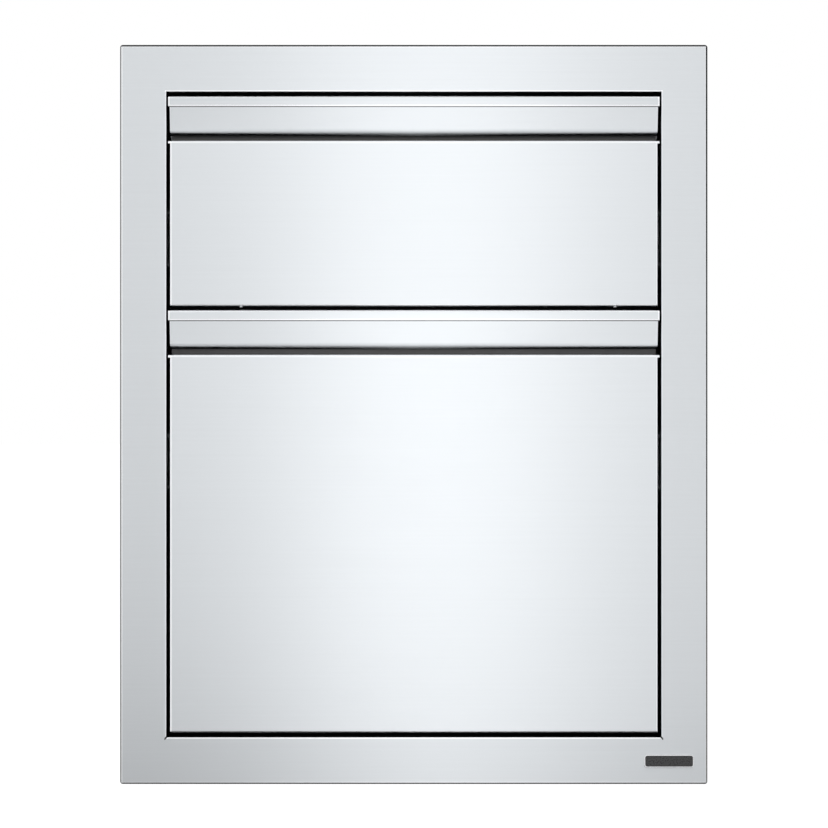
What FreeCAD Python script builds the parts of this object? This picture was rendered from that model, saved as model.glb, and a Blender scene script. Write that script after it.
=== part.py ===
import FreeCAD, Part
import math
import os

from FreeCAD import Vector

os.makedirs("parts", exist_ok=True)

# Built-in stainless steel trash drawer for an outdoor kitchen. A folded face frame and a
# sheet housing carry a shallow towel drawer above a tall waste drawer, and both run out
# on three-member ball slides. Millimetres: x to the right, y into the wall, z up.
# The origin is the middle of the wall cut-out, on the face of the wall.

# Sheet metal
SHEET = 1.2
FOLD_R = 1.8  # fold radius on the middle of the sheet
TIGHT_R = 1.2
HEM_R = 1.4
HEM_W = 3.4
HEM_DEPTH = 8.0
FIT = 0.1  # play between pieces that are fixed to each other
CLEAR = 1.0  # overlap of a cutting shape beyond what it cuts
TINY = 1e-3  # points closer than this count as touching

# Face frame
FRAME_W = 495.0
FRAME_H = 623.0
SIDE_RAIL = 39.0  # width of the frame beside the opening
END_RAIL = 39.5  # and above and below it
FRAME_PROUD = 12.0  # the front face stands this far ahead of the wall
FRAME_EDGE_R = 2.3  # corners of the outline
FRAME_BEVEL = 1.0
RIM_R = 1.0  # front edge of the opening
REVEAL_END = 14.0  # where the folds round the opening end, behind the wall's face
OPEN_W = FRAME_W - 2 * SIDE_RAIL
OPEN_H = FRAME_H - 2 * END_RAIL
SLIT_W = 0.8  # relief slits in the lower corners of the opening
SLIT_LENGTH = 1.4
SLIT_DEPTH = 3.0

# Drawer fronts, inset in the opening
GAP_TOP = 3.5
GAP_MIDDLE = 3.6
GAP_BOTTOM = 4.1
UPPER_FRONT_H = 176.8
FACE_W = 411.4
STRIP_W = 414.0  # the strip above the pull and the lip below it are wider than the face
FRONT_DEPTH = 22.0
PULL_H = 37.7  # from the top of a front down to its lip
STRIP_H = 9.1
SLOT_H = 5.0  # from the lip up to the rolled lower edge of the pull
TOE_SETBACK = 6.0  # corner of the rolled edge, behind the face
TOE_DROP = 1.8  # from the rolled edge down to the corner that it rounds
TOE_R = 6.0
RETURN_RISE = 6.0  # the sheet climbs this far from the rolled edge to the liner
CREASE_R = 0.9
PULL_FLANGE = 12.0  # height of the fold against the liner
LIP_H = 2.4
LIP_R = 1.5
LIP_LAP = 0.5  # overlap that joins the lip to the face
HEM_DROP = 9.0
EDGE_R = 1.5

# Housing behind the wall
HOUSING_DEPTH = 520.0
HOUSING_FRONT = -4.0
SEAM_FOLD = 15.0
SCREW_HOLE_R = 2.6
SCREW_Y = 45.0
SCREW_Z = 240.0
EMBOSS_DEPTH = 3.0  # field pressed into the back sheet
EMBOSS_SLOPE = 8.0
EMBOSS_W = 330.0
EMBOSS_H = 450.0
RAIL_FRONT = 12.8
RAIL_Z = (70.0, 102.0)
RAIL_DEPTH = 28.0

# Ball slides, as distances out from the housing wall and up from the slide's middle
SLIDE_T = 12.7
SLIDE_START = 18.0
SLIDE_LENGTH = 480.0
UPPER_SLIDE_Z = 150.0
LOWER_SLIDE_Z = -40.0
CAGE_START = 160.0
CAGE_LENGTH = 200.0
CAGE_T = 0.7
CAGE_SPINE = 1.1  # width of the strip behind its pockets
CAGE_POCKETS = 4
BALL_PLAY = 0.1
OUTER_BALL = (7.0, 19.35, 2.0)  # out, up, radius
INNER_BALL = (8.6, 14.93, 1.3)
OUTER_LIP_END = 19.0
MIDDLE_PROFILE = [(10.6, 14.75), (10.6, 17.73), (7.0, 16.5), (4.0, 17.53)]  # upper half
INNER_PROFILE = [(5.4, 13.87), (8.6, 12.83), (12.1, 13.97)]  # upper half
LIP_BEND_R = 2.0

# Towel drawer
TRAY_Z0 = 104.0
TRAY_Z1 = 222.0
TRAY_BACK_Z1 = 205.0
TRAY_END = 490.0
SIDE_FOLD = 12.0
FRONT_TAB = 17.0  # fold of a drawer side against the liner
TAB_INSET = 12.0
RIB_X = 90.0
RIB_FOOT = 9.0
RIB_CREST = 5.0
RIB_H = 3.0
ROD_Y = 120.0
ROD_Z = 178.0
ROD_R = 6.0
ROD_NECK_R = 4.0
ROD_BUTTON_R = 6.5
BUTTON_LENGTH = 5.5
BUTTON_TAPER = 1.5
ROD_PLAY = 1.0
SADDLE_X = 181.0  # middle of the saddle plates that hold the rod
SADDLE_T = 1.5
SADDLE_W = 36.0
SADDLE_BEVEL = 6.0
SADDLE_UP = 14.0  # top of the saddle plate above the rod
BRACKET_UP = 26.0
BRACKET_DOWN = 20.0

# Waste drawer
CARRIAGE_Z0 = -150.0
CARRIAGE_Z1 = 38.0
RING_FOLD = 10.0
RING_COLLAR = 7.0
RING_NOTCH = 20.0  # the ring's end folds stop short of the drawer sides
BIN_Y = 250.0  # middle of the bin
BIN_TOP = (338.0, 402.0)  # width and depth under the rim
BIN_FOOT = (300.0, 356.0)
BIN_CORNER_R = 42.0
BIN_FOOT_Z = -262.0
BIN_WALL = 2.6
BIN_BEVEL = 9.0
BIN_PLAY = 3.0  # between the bin and its ring
RIM_W = 15.0
RIM_T = 3.2
RIM_SKIRT = 7.0
RIM_BEVEL = 1.2

# Bumpers
BUMPER_R = 3.4
BUMPER_H = 2.4
BUMPER_X = 170.0
BUMPER_INSET = 3.6  # from the edge of the divider rail

# Planes and lines worked out from the above
FACE_Y = -FRAME_PROUD
BACK_Y = FACE_Y + FRONT_DEPTH
LINER_Y = BACK_Y - SHEET
UPPER_TOP = OPEN_H / 2 - GAP_TOP
UPPER_BOTTOM = UPPER_TOP - UPPER_FRONT_H
LOWER_TOP = UPPER_BOTTOM - GAP_MIDDLE
LOWER_BOTTOM = -OPEN_H / 2 + GAP_BOTTOM
WALL_X = OPEN_W / 2 + SHEET  # inner face of the housing's sides
TRAY_X = WALL_X - SLIDE_T  # outer face of a drawer's sides
INSIDE_X = TRAY_X - SHEET / 2 - FOLD_R - FIT  # half width of a sheet lying on the side folds
RING_TOP = CARRIAGE_Z1 + SHEET


def box(x0, x1, y0, y1, z0, z1):
    return Part.makeBox(x1 - x0, y1 - y0, z1 - z0, Vector(x0, y0, z0))


def mirrored(shape):
    """The same piece for the other side of the unit."""
    return shape.mirror(Vector(0, 0, 0), Vector(1, 0, 0))


def one_solid(shape):
    """Merge split faces and unwrap the single solid."""
    return shape.removeSplitter().Solids[0]


def folded_face(points, radii, place, thickness=SHEET):
    """Cross-section of a folded sheet whose middle line runs through the given points.

    radii holds the fold radius on the middle line at each inner point, with 0 for a sharp
    one, and place puts the flat coordinates in space.
    """
    line = [Vector(a, b, 0) for a, b in points]
    half = thickness / 2
    left = []
    right = []
    for i, point in enumerate(line):
        before = (point - line[i - 1]).normalize() if i > 0 else None
        after = (line[i + 1] - point).normalize() if i < len(line) - 1 else None
        if before is None or after is None:
            along = after if before is None else before
            normal = Vector(-along.y, along.x, 0)
            left.append([point + normal * half])
            right.append([point - normal * half])
            continue
        normal_in = Vector(-before.y, before.x, 0)
        normal_out = Vector(-after.y, after.x, 0)
        radius = radii[i - 1]
        if radius == 0:
            mitre = (normal_in + normal_out) * (half / (1 + normal_in.dot(normal_out)))
            left.append([point + mitre])
            right.append([point - mitre])
            continue
        side = 1 if before.x * after.y - before.y * after.x > 0 else -1
        cut = radius * math.tan(before.getAngle(after) / 2)
        start = point - before * cut
        end = point + after * cut
        centre = start + normal_in * (side * radius)
        away = (point - centre).normalize()
        for sign, rows in ((1, left), (-1, right)):
            reach = radius - side * sign * half
            rows.append([
                start + normal_in * (sign * half),
                centre + away * reach,
                end + normal_out * (sign * half),
            ])
    rows = left + [list(reversed(row)) for row in reversed(right)]
    edges = []
    for i, row in enumerate(rows):
        spots = [place(p.x, p.y) for p in row]
        following = place(rows[(i + 1) % len(rows)][0].x, rows[(i + 1) % len(rows)][0].y)
        if len(spots) == 3:
            edges.append(Part.Arc(*spots).toShape())
        if spots[-1].distanceToPoint(following) > TINY:
            edges.append(Part.makeLine(spots[-1], following))
    return Part.Face(Part.Wire(edges))


def sheet_along_x(points, radii, x0, x1, thickness=SHEET):
    face = folded_face(points, radii, lambda a, b: Vector(x0, a, b), thickness)
    return face.extrude(Vector(x1 - x0, 0, 0))


def sheet_along_y(points, radii, y0, y1, thickness=SHEET):
    face = folded_face(points, radii, lambda a, b: Vector(a, y0, b), thickness)
    return face.extrude(Vector(0, y1 - y0, 0))


def sheet_along_z(points, radii, z0, z1, thickness=SHEET):
    face = folded_face(points, radii, lambda a, b: Vector(a, b, z0), thickness)
    return face.extrude(Vector(0, 0, z1 - z0))


def edges_where(shape, test):
    return [e for e in shape.Edges if all(test(v.Point) for v in e.Vertexes)]


def faces_at(shape, axis, value):
    """Flat faces that lie on the plane where the given coordinate has the value."""
    found = []
    for face in shape.Faces:
        low = getattr(face.BoundBox, axis + "Min")
        high = getattr(face.BoundBox, axis + "Max")
        if abs(low - value) < TINY and abs(high - value) < TINY:
            found.append(face)
    return found


def face_frame():
    """One sheet folded back round its outside and back again round the opening."""
    w, h = FRAME_W / 2, FRAME_H / 2
    ow, oh = OPEN_W / 2, OPEN_H / 2
    frame = box(-w, w, FACE_Y, 0, -h, h)
    corners = [e for e in frame.Edges if abs(e.BoundBox.YLength - FRAME_PROUD) < TINY]
    frame = frame.makeFillet(FRAME_EDGE_R, corners)
    front = edges_where(frame, lambda p: abs(p.y - FACE_Y) < TINY)
    frame = frame.makeChamfer(FRAME_BEVEL, front)
    frame = frame.cut(box(
        -w + SHEET, w - SHEET, FACE_Y + SHEET, CLEAR, -h + SHEET, h - SHEET))
    tube = box(-ow - SHEET, ow + SHEET, FACE_Y, REVEAL_END, -oh - SHEET, oh + SHEET)
    opening = box(-ow, ow, FACE_Y - CLEAR, REVEAL_END + CLEAR, -oh, oh)
    frame = one_solid(frame.fuse(tube).cut(opening))
    rim = edges_where(
        frame,
        lambda p: abs(p.y - FACE_Y) < TINY and abs(p.x) < ow + CLEAR and abs(p.z) < oh + CLEAR)
    frame = frame.makeFillet(RIM_R, rim)
    for side in (-1, 1):
        slit = box(
            -SLIT_W / 2, SLIT_W / 2, FACE_Y - CLEAR, FACE_Y + SLIT_DEPTH, -SLIT_LENGTH, CLEAR)
        slit.rotate(Vector(0, 0, 0), Vector(0, 1, 0), -45 * side)
        slit.translate(Vector(side * ow, 0, -oh))
        frame = frame.cut(slit)
    return one_solid(frame)


def housing_side():
    """Right-hand side sheet with a rear fold and two holes for screws into the wall."""
    x = WALL_X + SHEET / 2
    back = HOUSING_DEPTH - SHEET * 1.5
    half = OPEN_H / 2 + SHEET * 1.5 - FOLD_R
    side = sheet_along_z(
        [(x, HOUSING_FRONT), (x, back), (x - SEAM_FOLD, back)], [FOLD_R], -half, half)
    for z in (-SCREW_Z, SCREW_Z):
        side = side.cut(Part.makeCylinder(
            SCREW_HOLE_R, SHEET * 3, Vector(WALL_X - SHEET, SCREW_Y, z), Vector(1, 0, 0)))
    return one_solid(side)


def housing_cover(sign):
    """Top or bottom sheet whose side folds lie against the outside of the side sheets."""
    x = WALL_X + SHEET * 1.5
    z = sign * (OPEN_H / 2 + SHEET * 1.5)
    low = z - sign * SEAM_FOLD
    points = [(-x, low), (-x, z), (x, z), (x, low)]
    return sheet_along_y(points, [FOLD_R, FOLD_R], HOUSING_FRONT, HOUSING_DEPTH - SHEET)


def pressed_field(y):
    """Shallow block with sloping sides, pressed forward from the plane at y."""
    w, h = EMBOSS_W / 2, EMBOSS_H / 2
    w2, h2 = w - EMBOSS_SLOPE, h - EMBOSS_SLOPE
    return Part.makeWedge(-w2, y - EMBOSS_DEPTH, -h2, -h, -w, w2, y, h2, h, w)


def housing_back():
    """Flat back sheet, stiffened by a field pressed inwards."""
    x = WALL_X + SHEET
    z = OPEN_H / 2 + SHEET * 2
    y0, y1 = HOUSING_DEPTH - SHEET, HOUSING_DEPTH
    plate = box(-x, x, y0, y1, -z, z)
    return one_solid(plate.fuse(pressed_field(y0)).cut(pressed_field(y1)))


def divider_rail():
    """Channel across the housing behind the gap between the two fronts."""
    y = RAIL_FRONT + SHEET / 2
    low, high = RAIL_Z[0] + SHEET / 2, RAIL_Z[1] - SHEET / 2
    far = RAIL_FRONT + RAIL_DEPTH
    points = [(far, high), (y, high), (y, low), (far, low)]
    inside = OPEN_W / 2 - FIT
    rail = sheet_along_x(points, [FOLD_R, FOLD_R], -inside, inside)
    for side in (-1, 1):
        start = REVEAL_END + FIT
        outer = box(WALL_X - SHEET, WALL_X, start, far, RAIL_Z[0], RAIL_Z[1])
        bridge = box(inside - CLEAR, WALL_X, start, far, RAIL_Z[0], RAIL_Z[0] + SHEET)
        upper = bridge.copy()
        upper.translate(Vector(0, 0, RAIL_Z[1] - RAIL_Z[0] - SHEET))
        end = outer.fuse([bridge, upper])
        rail = rail.fuse(end if side > 0 else mirrored(end))
    return one_solid(rail)


def slide_member(points, radii, z):
    """Right-hand slide member: one rolled section along the housing wall."""
    placed = [(WALL_X - out, z + up) for out, up in points]
    return sheet_along_y(placed, radii, SLIDE_START, SLIDE_START + SLIDE_LENGTH)


def slide_outer(z):
    """Fixed channel with rounded lips that hold the outer balls."""
    race = OUTER_BALL[2] + SHEET / 2 + BALL_PLAY
    lip, up = OUTER_BALL[0] + race, OUTER_BALL[1] + race
    half = [(lip, OUTER_LIP_END), (lip, up), (SHEET / 2, up)]
    points = half + [(out, -height) for out, height in reversed(half)]
    return slide_member(points, [race, 0, 0, race], z)


def slide_middle(z):
    """Travelling channel, grooved outside for the outer balls and lipped for the inner."""
    race = OUTER_BALL[2] + SHEET / 2 + BALL_PLAY
    points = MIDDLE_PROFILE + [(out, -up) for out, up in reversed(MIDDLE_PROFILE)]
    return slide_member(points, [LIP_BEND_R, race, 0, 0, race, LIP_BEND_R], z)


def slide_inner(z):
    """Drawer rail, open towards the housing, with a groove for each row of inner balls."""
    race = INNER_BALL[2] + SHEET / 2 + BALL_PLAY
    points = INNER_PROFILE + [(out, -up) for out, up in reversed(INNER_PROFILE)]
    return slide_member(points, [race, 0, 0, race], z)


def ball_cage(ball, z):
    """Two strips, above and below, with a square pocket in one edge for each ball."""
    out, up, radius = ball
    pitch = CAGE_LENGTH / CAGE_POCKETS
    middle = WALL_X - out
    reach = radius + BALL_PLAY
    strip = box(
        middle - radius / 2, middle + radius + CAGE_SPINE,
        CAGE_START, CAGE_START + CAGE_LENGTH, up - CAGE_T / 2, up + CAGE_T / 2)
    for i in range(CAGE_POCKETS):
        y = CAGE_START + pitch * (i + 0.5)
        strip = strip.cut(box(
            middle - reach, middle + reach, y - reach, y + reach, up - CAGE_T, up + CAGE_T))
    upper = one_solid(strip)
    lower = upper.copy()
    upper.translate(Vector(0, 0, z))
    lower.translate(Vector(0, 0, z - up - up))
    return Part.makeCompound([upper, lower])


def front_panel(bottom, top):
    """Face sheet with side and bottom folds below the pull, and a hem as its lip."""
    w = FACE_W / 2
    lip = top - PULL_H
    block = box(-w, w, FACE_Y, BACK_Y, bottom, lip)
    front = edges_where(block, lambda p: abs(p.y - FACE_Y) < TINY)
    front = [e for e in front if e.BoundBox.ZMin < lip - CLEAR]
    block = block.makeFillet(EDGE_R, front)
    opened = faces_at(block, "Y", BACK_Y) + faces_at(block, "Z", lip)
    panel = block.makeThickness(opened, -SHEET, TINY)
    panel = panel.cut(box(
        -w - CLEAR, w + CLEAR, FACE_Y - CLEAR, FACE_Y + EDGE_R + LIP_LAP, lip - LIP_H, lip + CLEAR))
    y = FACE_Y + SHEET / 2
    back = y + 2 * LIP_R
    crest = lip - SHEET / 2
    hem = [(y, lip - LIP_H - LIP_LAP), (y, crest), (back, crest), (back, lip - HEM_DROP)]
    inside = w - SHEET / 2
    panel = panel.fuse(sheet_along_x(hem, [LIP_R, LIP_R], -inside, inside))
    tab = [(y, lip - LIP_H), (y, crest), (back, crest)]
    panel = panel.fuse(sheet_along_x(tab, [LIP_R], -STRIP_W / 2, STRIP_W / 2))
    return one_solid(panel)


def pull(top):
    """Top strip and the sloping pull below it with a rolled lower edge, in one folded sheet."""
    lip = top - PULL_H
    y = FACE_Y + SHEET / 2
    flange = LINER_Y - SHEET / 2
    toe = lip + SLOT_H - TOE_DROP
    foot = toe + RETURN_RISE
    points = [
        (BACK_Y, top - SHEET / 2), (y, top - SHEET / 2), (y, top - STRIP_H),
        (FACE_Y + TOE_SETBACK, toe), (flange, foot), (flange, foot + PULL_FLANGE),
    ]
    radii = [FOLD_R, CREASE_R, TOE_R, FOLD_R]
    shape = sheet_along_x(points, radii, -STRIP_W / 2, STRIP_W / 2)
    for side in (-1, 1):
        x0, x1 = sorted((side * FACE_W / 2, side * STRIP_W))
        shape = shape.cut(box(x0, x1, FACE_Y - CLEAR, BACK_Y + CLEAR, lip, top - STRIP_H + FIT))
    return one_solid(shape)


def front_liner(bottom, top):
    """Inner sheet of a front, folded forward inside the face sheet, full width behind the pull."""
    w = FACE_W / 2 - SHEET - FIT
    low = bottom + SHEET + FIT
    lip = top - PULL_H
    block = box(-w, w, LINER_Y - SIDE_FOLD, BACK_Y, low, top - SHEET)
    rear = edges_where(block, lambda p: abs(p.y - BACK_Y) < TINY)
    block = block.makeFillet(EDGE_R, [e for e in rear if e.BoundBox.ZMin < top - SHEET - CLEAR])
    opened = faces_at(block, "Y", LINER_Y - SIDE_FOLD) + faces_at(block, "Z", top - SHEET)
    liner = block.makeThickness(opened, -SHEET, TINY)
    liner = liner.cut(box(-w - CLEAR, w + CLEAR, FACE_Y, LINER_Y, lip - HEM_DROP - SHEET, top))
    return one_solid(liner.fuse(box(
        -FACE_W / 2, FACE_W / 2, LINER_Y, BACK_Y, lip + CLEAR, top - SHEET)))


def drawer_bumpers(z):
    """Rubber buttons on the back of a front that meet the divider rail."""
    return Part.makeCompound([
        Part.makeCylinder(BUMPER_R, BUMPER_H, Vector(x, BACK_Y, z), Vector(0, 1, 0))
        for x in (-BUMPER_X, BUMPER_X)])


def side_fold_plate(z0, z1):
    """Fold at the front of a right-hand drawer side, fixed to the liner."""
    return box(TRAY_X - FRONT_TAB, TRAY_X - SHEET / 2, BACK_Y, BACK_Y + SHEET, z0, z1)


def tray_side():
    """Right-hand side of the towel drawer with a bottom fold and a hemmed top edge."""
    x = TRAY_X - SHEET / 2
    foot = TRAY_Z0 + SHEET / 2
    crest = TRAY_Z1 - SHEET / 2
    points = [
        (x - SIDE_FOLD, foot), (x, foot), (x, crest),
        (x - HEM_W, crest), (x - HEM_W, crest - HEM_DEPTH),
    ]
    side = sheet_along_y(points, [FOLD_R, HEM_R, HEM_R], BACK_Y, TRAY_END)
    side = side.fuse(side_fold_plate(TRAY_Z0 + TAB_INSET, TRAY_Z1 - TAB_INSET))
    return one_solid(side)


def tray_bottom():
    """Drawer bottom that lies on the folds of the sides, with two pressed ribs."""
    z = TRAY_Z0 + SHEET * 1.5
    points = [(-INSIDE_X, z)]
    for middle in (-RIB_X, RIB_X):
        points += [
            (middle - RIB_FOOT, z), (middle - RIB_CREST, z + RIB_H),
            (middle + RIB_CREST, z + RIB_H), (middle + RIB_FOOT, z),
        ]
    points += [(INSIDE_X, z)]
    radii = [TIGHT_R] * (len(points) - 2)
    return sheet_along_y(points, radii, BACK_Y + FIT, TRAY_END - SHEET - FIT)


def tray_back():
    """Back of the towel drawer with a hemmed top edge."""
    y = TRAY_END - SHEET / 2
    crest = TRAY_BACK_Z1 - SHEET / 2
    points = [
        (y, TRAY_Z0 + SHEET), (y, crest), (y - HEM_W, crest), (y - HEM_W, crest - HEM_DEPTH),
    ]
    return sheet_along_x(points, [HEM_R, HEM_R], -INSIDE_X, INSIDE_X)


def rod_bracket():
    """Right-hand cranked bracket with an open notch that the towel rod drops into."""
    wall = TRAY_X - SHEET - SADDLE_T / 2
    low = ROD_Z - BRACKET_DOWN
    points = [
        (wall, ROD_Z + BRACKET_UP), (wall, low), (SADDLE_X, low), (SADDLE_X, ROD_Z + SADDLE_UP),
    ]
    bracket = sheet_along_y(
        points, [FOLD_R, FOLD_R], ROD_Y - SADDLE_W / 2, ROD_Y + SADDLE_W / 2, SADDLE_T)
    tops = [e for e in bracket.Edges
            if e.BoundBox.ZMin > ROD_Z + SADDLE_UP / 2
            and e.BoundBox.XLength > SADDLE_T / 2 and e.BoundBox.YLength < TINY]
    bracket = bracket.makeChamfer(SADDLE_BEVEL, tops)
    half = ROD_NECK_R + FIT
    x0, x1 = SADDLE_X - SADDLE_T, SADDLE_X + SADDLE_T
    notch = Part.makeCylinder(half, x1 - x0, Vector(x0, ROD_Y, ROD_Z), Vector(1, 0, 0))
    notch = notch.fuse(box(x0, x1, ROD_Y - half, ROD_Y + half, ROD_Z, ROD_Z + BRACKET_UP))
    return one_solid(bracket.cut(notch))


def towel_rod():
    """Turned rod with a neck in each notch and a button outside it."""
    neck = SADDLE_X - SADDLE_T / 2 - ROD_PLAY
    button = SADDLE_X + SADDLE_T / 2 + ROD_PLAY
    end = button + BUTTON_LENGTH
    half = [
        (neck, ROD_R), (neck, ROD_NECK_R), (button, ROD_NECK_R),
        (button, ROD_BUTTON_R), (end, ROD_BUTTON_R - BUTTON_TAPER),
    ]
    outline = [Vector(-end, 0, 0)]
    outline += [Vector(-x, 0, r) for x, r in reversed(half)]
    outline += [Vector(x, 0, r) for x, r in half]
    outline += [Vector(end, 0, 0), Vector(-end, 0, 0)]
    rod = Part.Face(Part.makePolygon(outline)).revolve(Vector(0, 0, 0), Vector(1, 0, 0), 360)
    rod.translate(Vector(0, ROD_Y, ROD_Z))
    return rod


def carriage_side():
    """Right-hand side of the waste drawer, folded in at the bottom and at the top."""
    x = TRAY_X - SHEET / 2
    low = CARRIAGE_Z0 + SHEET / 2
    high = CARRIAGE_Z1 - SHEET / 2
    points = [(x - SIDE_FOLD, low), (x, low), (x, high), (x - SIDE_FOLD, high)]
    side = sheet_along_y(points, [FOLD_R, FOLD_R], BACK_Y, TRAY_END)
    side = side.fuse(side_fold_plate(CARRIAGE_Z0 + TAB_INSET, CARRIAGE_Z1 - TAB_INSET))
    return one_solid(side)


def carriage_back():
    """Sheet across the rear of the waste drawer, standing on the folds of its sides."""
    y = TRAY_END - SHEET / 2
    low = CARRIAGE_Z0 + SHEET * 1.5
    points = [(y - SIDE_FOLD, low), (y, low), (y, CARRIAGE_Z1 - SHEET - FIT)]
    return sheet_along_x(points, [FOLD_R], -INSIDE_X, INSIDE_X)


def rounded_prism(grow, z0, z1):
    """Upright block with the bin's outline under its rim, grown by the given amount."""
    w = BIN_TOP[0] / 2 + grow
    d = BIN_TOP[1] / 2 + grow
    block = box(-w, w, BIN_Y - d, BIN_Y + d, z0, z1)
    upright = [e for e in block.Edges if e.BoundBox.ZLength > (z1 - z0) / 2]
    return block.makeFillet(BIN_CORNER_R + grow, upright)


def bin_ring():
    """Deck across the carriage with a collared hole that the bin hangs in."""
    x = TRAY_X - SHEET - FIT
    z = CARRIAGE_Z1 + SHEET / 2
    front = BACK_Y + SHEET * 1.5 + FIT
    back = TRAY_END - SHEET * 1.5 - FIT
    points = [(front, z - RING_FOLD), (front, z), (back, z), (back, z - RING_FOLD)]
    ring = sheet_along_x(points, [FOLD_R, FOLD_R], -x, x)
    for side in (-1, 1):
        x0, x1 = sorted((side * (TRAY_X - RING_NOTCH), side * TRAY_X))
        ring = ring.cut(box(x0, x1, BACK_Y, TRAY_END, z - RING_FOLD - CLEAR, CARRIAGE_Z1))
    foot = CARRIAGE_Z1 - RING_COLLAR
    collar = rounded_prism(BIN_PLAY + SHEET, foot, CARRIAGE_Z1 + SHEET / 2)
    hole = rounded_prism(BIN_PLAY, foot - CLEAR, RING_TOP + CLEAR)
    return one_solid(ring.fuse(collar).cut(hole))


def tapered_block(grow, foot_z, top_z):
    """Four sloping walls with rounded upright edges and a bevelled foot."""
    w, d = BIN_FOOT[0] / 2 + grow, BIN_FOOT[1] / 2 + grow
    w2, d2 = BIN_TOP[0] / 2 + grow, BIN_TOP[1] / 2 + grow
    block = Part.makeWedge(-w, foot_z, -d, -d2, -w2, w, top_z, d, d2, w2)
    block.rotate(Vector(0, 0, 0), Vector(1, 0, 0), 90)
    block.translate(Vector(0, BIN_Y, 0))
    upright = [e for e in block.Edges if e.BoundBox.ZLength > BIN_CORNER_R]
    block = block.makeFillet(BIN_CORNER_R + grow, upright)
    foot = edges_where(block, lambda p: abs(p.z - foot_z) < TINY)
    return block.makeChamfer(BIN_BEVEL, foot)


def waste_bin():
    """Moulded bin: a tapered shell that hangs by a rim with a turned-down skirt."""
    rim_top = RING_TOP + RIM_SKIRT
    body = tapered_block(0, BIN_FOOT_Z, rim_top)
    inside = tapered_block(-BIN_WALL, BIN_FOOT_Z + BIN_WALL, rim_top)
    rim = rounded_prism(RIM_W, RING_TOP, rim_top)
    rim = rim.makeChamfer(RIM_BEVEL, edges_where(rim, lambda p: abs(p.z - rim_top) < TINY))
    hollow = rounded_prism(RIM_W - BIN_WALL, RING_TOP - CLEAR, rim_top - RIM_T)
    return one_solid(rim.cut(hollow).fuse(body).cut(inside))


nodes = {
    "face_frame": face_frame(),
    "housing_right_side": housing_side(),
    "housing_top": housing_cover(1),
    "housing_bottom": housing_cover(-1),
    "housing_back": housing_back(),
    "divider_rail": divider_rail(),
    "upper_front_panel": front_panel(UPPER_BOTTOM, UPPER_TOP),
    "upper_pull": pull(UPPER_TOP),
    "upper_front_liner": front_liner(UPPER_BOTTOM, UPPER_TOP),
    "upper_bumpers": drawer_bumpers(RAIL_Z[1] - BUMPER_INSET),
    "tray_right_side": tray_side(),
    "tray_bottom": tray_bottom(),
    "tray_back": tray_back(),
    "right_rod_bracket": rod_bracket(),
    "towel_rod": towel_rod(),
    "lower_front_panel": front_panel(LOWER_BOTTOM, LOWER_TOP),
    "lower_pull": pull(LOWER_TOP),
    "lower_front_liner": front_liner(LOWER_BOTTOM, LOWER_TOP),
    "lower_bumpers": drawer_bumpers(RAIL_Z[0] + BUMPER_INSET),
    "carriage_right_side": carriage_side(),
    "carriage_back": carriage_back(),
    "bin_ring": bin_ring(),
    "waste_bin": waste_bin(),
}
for level, z in (("upper", UPPER_SLIDE_Z), ("lower", LOWER_SLIDE_Z)):
    nodes[level + "_right_slide_outer"] = slide_outer(z)
    nodes[level + "_right_slide_middle"] = slide_middle(z)
    nodes[level + "_right_slide_inner"] = slide_inner(z)
    nodes[level + "_right_outer_cage"] = ball_cage(OUTER_BALL, z)
    nodes[level + "_right_inner_cage"] = ball_cage(INNER_BALL, z)
for name in [n for n in nodes if "right_" in n]:
    nodes[name.replace("right_", "left_")] = mirrored(nodes[name])

for name, shape in nodes.items():
    shape.exportStep("parts/" + name + ".step")
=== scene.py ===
import math

import bmesh
import bpy
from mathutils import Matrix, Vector


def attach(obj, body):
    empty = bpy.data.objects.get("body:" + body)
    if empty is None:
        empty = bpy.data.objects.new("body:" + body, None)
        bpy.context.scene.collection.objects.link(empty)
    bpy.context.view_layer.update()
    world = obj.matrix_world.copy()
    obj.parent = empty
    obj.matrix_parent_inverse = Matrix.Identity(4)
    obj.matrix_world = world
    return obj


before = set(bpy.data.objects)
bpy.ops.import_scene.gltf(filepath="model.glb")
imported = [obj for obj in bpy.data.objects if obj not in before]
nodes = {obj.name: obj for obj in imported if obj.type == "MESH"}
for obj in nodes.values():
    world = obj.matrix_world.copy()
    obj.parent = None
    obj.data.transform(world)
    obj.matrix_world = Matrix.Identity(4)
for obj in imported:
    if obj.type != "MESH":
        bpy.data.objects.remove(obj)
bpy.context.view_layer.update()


# Face frame: one stainless sheet, brushed along its width, then folded back at its outer
# edges and again round the opening. The folds bear on the wall round the cut-out, and two
# relief slits mark the lower corners of the opening.
class Wire:
    """One output of a node tree. Sums and products of wires add the Math nodes they need."""

    def __init__(self, tree, socket):
        self.tree = tree
        self.socket = socket

    def math(self, operation, first, second):
        return self.tree.add("ShaderNodeMath", {"operation": operation}, {0: first, 1: second})

    def __add__(self, other):
        return self.math("ADD", self, other)

    def __radd__(self, other):
        return self.math("ADD", other, self)

    def __sub__(self, other):
        return self.math("SUBTRACT", self, other)

    def __rsub__(self, other):
        return self.math("SUBTRACT", other, self)

    def __mul__(self, other):
        return self.math("MULTIPLY", self, other)

    def __rmul__(self, other):
        return self.math("MULTIPLY", other, self)

    def __gt__(self, other):
        return self.math("GREATER_THAN", self, other)

    def __lt__(self, other):
        return self.math("LESS_THAN", self, other)

    def __or__(self, other):
        return self.math("MAXIMUM", self, other)

    def __abs__(self):
        return self.math("ABSOLUTE", self, 0.0)


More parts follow.
